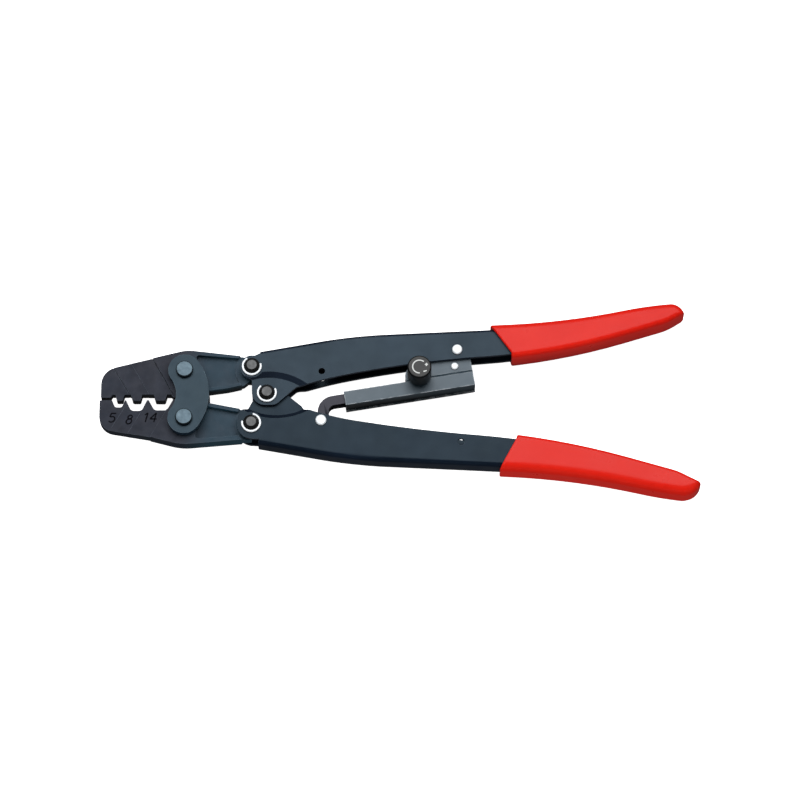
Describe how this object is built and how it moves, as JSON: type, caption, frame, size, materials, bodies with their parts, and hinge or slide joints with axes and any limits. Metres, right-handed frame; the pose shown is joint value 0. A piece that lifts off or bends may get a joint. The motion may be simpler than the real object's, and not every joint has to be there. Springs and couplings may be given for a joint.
{
  "type": "ratchet crimping tool",
  "caption": "Long-handled ratchet crimping tool with toothed jaws, compound link and pin hinges, a sliding ratchet bar with a release knob, and dipped grips.",
  "frame": {"origin": "centre of the tool's bounding box in X and Y, at the back faces of the two jaw rivets", "axes": "+X along the tool from the jaws to the grips, +Y towards the upper jaw, +Z out of the front face, along the hinge pins"},
  "size_m": [0.3194, 0.108, 0.0298],
  "materials": {
    "jaw_steel": "satin black oxide over forged steel",
    "handle_paint": "smooth blue-black baked paint",
    "link_steel": "smooth blued steel",
    "rivet_steel": "burnished blued steel",
    "pin_steel": "dark turned steel",
    "zinc": "bright zinc plating",
    "grip_plastic": "glossy dipped plastic",
    "case_steel": "satin grey-black paint on folded sheet",
    "bar_steel": "black oxide",
    "knob_plastic": "black anodised, turned",
    "shaft_steel": "plain steel"
  },
  "bodies": {
    "links": {"front_link_plate": "link_steel", "back_link_plate": "link_steel", "upper_jaw_rivet": "rivet_steel", "lower_jaw_rivet": "rivet_steel"},
    "upper_jaw": {"upper_jaw": "jaw_steel"},
    "lower_jaw": {"lower_jaw": "jaw_steel"},
    "upper_handle": {"upper_handle": "handle_paint", "upper_grip": "grip_plastic", "upper_jaw_pin": "pin_steel", "upper_pin_ring": "zinc", "centre_pin": "pin_steel", "centre_pin_ring": "zinc", "case_pivot_rivet": "zinc"},
    "lower_handle": {"lower_handle": "handle_paint", "lower_grip": "grip_plastic", "lower_jaw_pin": "pin_steel", "lower_pin_ring": "zinc", "bar_rivet": "zinc"},
    "ratchet_case": {"ratchet_case": "case_steel", "spring_pin": "zinc", "pawl_spring": "shaft_steel"},
    "ratchet_bar": {"ratchet_bar": "bar_steel"},
    "release_knob": {"release_knob": "knob_plastic", "knob_shaft": "shaft_steel", "knob_shaft_clip": "shaft_steel", "pawl": "bar_steel"}
  },
  "joints": [
    {"name": "handle_opening", "type": "hinge", "parent": "upper_jaw", "child": "upper_handle", "pos_m": [-0.07868, 0.01801, 0.0103], "axis": [0, 0, 1], "range_deg": [-4, 22]},
    {"name": "upper_jaw_hinge", "type": "hinge", "parent": "links", "child": "upper_jaw", "pos_m": [-0.11443, 0.01546, 0.0103], "axis": [0, 0, 1], "range_deg": [-4.38, 0.81]},
    {"name": "lower_jaw_hinge", "type": "hinge", "parent": "links", "child": "lower_jaw", "pos_m": [-0.11443, -0.01134, 0.0103], "axis": [0, 0, 1], "range_deg": [-0.81, 4.38]},
    {"name": "lower_handle_hinge", "type": "hinge", "parent": "lower_jaw", "child": "lower_handle", "pos_m": [-0.07868, -0.01389, 0.0103], "axis": [0, 0, 1], "range_deg": [-18.3, 3.34]},
    {"name": "case_hinge", "type": "hinge", "parent": "upper_handle", "child": "ratchet_case", "pos_m": [0.03095, 0.02747, 0.0103], "axis": [0, 0, 1], "range_deg": [-1.34, 7.26]},
    {"name": "bar_slide", "type": "slide", "parent": "ratchet_case", "child": "ratchet_bar", "axis": [0.9866, 0.1633, 0], "range_m": [-0.01789, 0.00327]},
    {"name": "release_knob_turn", "type": "hinge", "parent": "ratchet_case", "child": "release_knob", "pos_m": [0.0107, 0.01327, 0.0103], "axis": [0, 0, 1], "range_deg": [0, 35], "stiffness_Nm_per_rad": 0.02}
  ],
  "couplings": [
    {"joint": "upper_jaw_hinge", "follows": "handle_opening", "ratio": -0.198},
    {"joint": "lower_jaw_hinge", "follows": "handle_opening", "ratio": 0.198},
    {"joint": "lower_handle_hinge", "follows": "handle_opening", "ratio": -0.831},
    {"joint": "case_hinge", "follows": "handle_opening", "ratio": 0.329},
    {"joint": "bar_slide", "follows": "handle_opening", "m_per_rad": -0.04654}
  ]
}
